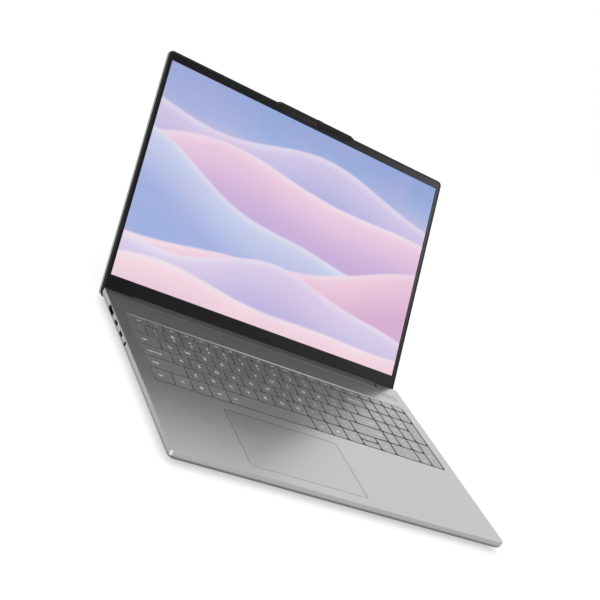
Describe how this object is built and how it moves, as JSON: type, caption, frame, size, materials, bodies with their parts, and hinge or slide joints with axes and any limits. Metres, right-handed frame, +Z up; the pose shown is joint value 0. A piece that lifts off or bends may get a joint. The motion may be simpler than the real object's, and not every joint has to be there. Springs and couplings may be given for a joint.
{
  "type": "laptop computer",
  "caption": "Thin clamshell laptop with a grey metal case, narrow black bezel round the screen, recessed keyboard with a number pad, wide touchpad and a lid on a dropped rear hinge.",
  "frame": {"origin": "centre of the open laptop's bounding box, on the plane of its feet", "axes": "+X to the user's right, +Y to the rear, +Z up from the feet; the user sits at -Y"},
  "size_m": [0.356, 0.3858, 0.21],
  "materials": {
    "case_metal": "fine bead-blasted anodised grey",
    "touch_surface": "satin coated glass in the case colour",
    "key_plastic": "matt painted grey",
    "black_plastic": "fine textured black",
    "soft_rubber": "matt black",
    "screen": "anti-glare film over a lit display",
    "port_metal": "plain stamped sheet",
    "jack_plastic": "moulded black",
    "spring_steel": "plain sheet",
    "circuit_board": "solder mask",
    "copper": "flattened copper tube",
    "fin_metal": "thin sheet",
    "battery_wrap": "black film"
  },
  "bodies": {
    "base": {"top_case": "case_metal", "bottom_cover": "case_metal", "speakers": "black_plastic", "keyboard_membrane": "black_plastic", "fan_housing": "black_plastic", "rubber_feet": "soft_rubber", "video_port": "port_metal", "oval_data_ports": "port_metal", "wide_data_ports": "port_metal", "card_slot": "port_metal", "audio_jack": "jack_plastic", "bottom_screws": "spring_steel", "keyboard_plate": "spring_steel", "touchpad_frame": "spring_steel", "hinge_brackets": "spring_steel", "motherboard": "circuit_board", "io_board": "circuit_board", "power_switch_board": "circuit_board", "storage_module": "circuit_board", "wireless_card": "circuit_board", "processor": "circuit_board", "heat_pipe": "copper", "heatsink_fins": "fin_metal", "battery_pack": "battery_wrap"},
    "lid": {"lid_back_cover": "case_metal", "bezel_rim": "soft_rubber", "display_bezel": "black_plastic", "display_panel": "screen", "hinge_cover": "black_plastic", "lid_brackets": "spring_steel", "hinge_pins": "spring_steel", "display_cable": "black_plastic", "antennas": "black_plastic", "camera_module": "circuit_board"},
    "camera_shutter": {"camera_shutter": "black_plastic"},
    "touchpad": {"touchpad_plate": "touch_surface", "touchpad_board": "circuit_board"},
    "power_button": {"power_button": "case_metal"},
    "fan_rotor": {"fan_rotor": "black_plastic"},
    "function_keys": {"function_keys": "key_plastic"},
    "number_keys": {"number_keys": "key_plastic"},
    "backspace_key": {"backspace_key": "key_plastic"},
    "tab_key": {"tab_key": "key_plastic"},
    "top_letter_keys": {"top_letter_keys": "key_plastic"},
    "caps_lock_key": {"caps_lock_key": "key_plastic"},
    "home_letter_keys": {"home_letter_keys": "key_plastic"},
    "enter_key": {"enter_key": "key_plastic"},
    "left_shift_key": {"left_shift_key": "key_plastic"},
    "bottom_letter_keys": {"bottom_letter_keys": "key_plastic"},
    "right_shift_key": {"right_shift_key": "key_plastic"},
    "left_modifier_keys": {"left_modifier_keys": "key_plastic"},
    "space_bar": {"space_bar": "key_plastic"},
    "right_modifier_keys": {"right_modifier_keys": "key_plastic"},
    "arrow_keys": {"arrow_keys": "key_plastic"},
    "numpad_operator_keys": {"numpad_operator_keys": "key_plastic"},
    "numpad_digit_keys": {"numpad_digit_keys": "key_plastic"},
    "numpad_plus_key": {"numpad_plus_key": "key_plastic"},
    "numpad_enter_key": {"numpad_enter_key": "key_plastic"},
    "numpad_zero_keys": {"numpad_zero_keys": "key_plastic"}
  },
  "joints": [
    {"name": "lid_hinge", "type": "hinge", "parent": "base", "child": "lid", "pos_m": [0, 0.05068, 0.0073], "axis": [-1, 0, 0], "range_deg": [-123.3, 16.7]},
    {"name": "shutter_slide", "type": "slide", "parent": "lid", "child": "camera_shutter", "axis": [1, 0, 0], "range_m": [0, 0.005]},
    {"name": "touchpad_click", "type": "hinge", "parent": "base", "child": "touchpad", "pos_m": [-0.0397, -0.10452, 0.01065], "axis": [1, 0, 0], "range_deg": [0, 0.25], "stiffness_Nm_per_rad": 10, "springref_deg": -0.57},
    {"name": "power_press", "type": "slide", "parent": "base", "child": "power_button", "axis": [0, 0, -1], "range_m": [0, 0.0003], "stiffness_N_per_m": 2000, "springref_m": -0.0005},
    {"name": "fan_spin", "type": "hinge", "parent": "base", "child": "fan_rotor", "pos_m": [0.093, -0.00442, 0.0042], "axis": [0, 0, 1], "continuous": true},
    {"name": "function_press", "type": "slide", "parent": "base", "child": "function_keys", "axis": [0, 0, -1], "range_m": [0, 0.0013], "stiffness_N_per_m": 300, "springref_m": -0.0016},
    {"name": "number_press", "type": "slide", "parent": "base", "child": "number_keys", "axis": [0, 0, -1], "range_m": [0, 0.0013], "stiffness_N_per_m": 300, "springref_m": -0.0016},
    {"name": "backspace_press", "type": "slide", "parent": "base", "child": "backspace_key", "axis": [0, 0, -1], "range_m": [0, 0.0013], "stiffness_N_per_m": 300, "springref_m": -0.0016},
    {"name": "tab_press", "type": "slide", "parent": "base", "child": "tab_key", "axis": [0, 0, -1], "range_m": [0, 0.0013], "stiffness_N_per_m": 300, "springref_m": -0.0016},
    {"name": "top_letter_press", "type": "slide", "parent": "base", "child": "top_letter_keys", "axis": [0, 0, -1], "range_m": [0, 0.0013], "stiffness_N_per_m": 300, "springref_m": -0.0016},
    {"name": "caps_lock_press", "type": "slide", "parent": "base", "child": "caps_lock_key", "axis": [0, 0, -1], "range_m": [0, 0.0013], "stiffness_N_per_m": 300, "springref_m": -0.0016},
    {"name": "home_letter_press", "type": "slide", "parent": "base", "child": "home_letter_keys", "axis": [0, 0, -1], "range_m": [0, 0.0013], "stiffness_N_per_m": 300, "springref_m": -0.0016},
    {"name": "enter_press", "type": "slide", "parent": "base", "child": "enter_key", "axis": [0, 0, -1], "range_m": [0, 0.0013], "stiffness_N_per_m": 300, "springref_m": -0.0016},
    {"name": "left_shift_press", "type": "slide", "parent": "base", "child": "left_shift_key", "axis": [0, 0, -1], "range_m": [0, 0.0013], "stiffness_N_per_m": 300, "springref_m": -0.0016},
    {"name": "bottom_letter_press", "type": "slide", "parent": "base", "child": "bottom_letter_keys", "axis": [0, 0, -1], "range_m": [0, 0.0013], "stiffness_N_per_m": 300, "springref_m": -0.0016},
    {"name": "right_shift_press", "type": "slide", "parent": "base", "child": "right_shift_key", "axis": [0, 0, -1], "range_m": [0, 0.0013], "stiffness_N_per_m": 300, "springref_m": -0.0016},
    {"name": "left_modifier_press", "type": "slide", "parent": "base", "child": "left_modifier_keys", "axis": [0, 0, -1], "range_m": [0, 0.0013], "stiffness_N_per_m": 300, "springref_m": -0.0016},
    {"name": "space_bar_press", "type": "slide", "parent": "base", "child": "space_bar", "axis": [0, 0, -1], "range_m": [0, 0.0013], "stiffness_N_per_m": 300, "springref_m": -0.0016},
    {"name": "right_modifier_press", "type": "slide", "parent": "base", "child": "right_modifier_keys", "axis": [0, 0, -1], "range_m": [0, 0.0013], "stiffness_N_per_m": 300, "springref_m": -0.0016},
    {"name": "arrow_press", "type": "slide", "parent": "base", "child": "arrow_keys", "axis": [0, 0, -1], "range_m": [0, 0.0013], "stiffness_N_per_m": 300, "springref_m": -0.0016},
    {"name": "numpad_operator_press", "type": "slide", "parent": "base", "child": "numpad_operator_keys", "axis": [0, 0, -1], "range_m": [0, 0.0013], "stiffness_N_per_m": 300, "springref_m": -0.0016},
    {"name": "numpad_digit_press", "type": "slide", "parent": "base", "child": "numpad_digit_keys", "axis": [0, 0, -1], "range_m": [0, 0.0013], "stiffness_N_per_m": 300, "springref_m": -0.0016},
    {"name": "numpad_plus_press", "type": "slide", "parent": "base", "child": "numpad_plus_key", "axis": [0, 0, -1], "range_m": [0, 0.0013], "stiffness_N_per_m": 300, "springref_m": -0.0016},
    {"name": "numpad_enter_press", "type": "slide", "parent": "base", "child": "numpad_enter_key", "axis": [0, 0, -1], "range_m": [0, 0.0013], "stiffness_N_per_m": 300, "springref_m": -0.0016},
    {"name": "numpad_zero_press", "type": "slide", "parent": "base", "child": "numpad_zero_keys", "axis": [0, 0, -1], "range_m": [0, 0.0013], "stiffness_N_per_m": 300, "springref_m": -0.0016}
  ]
}
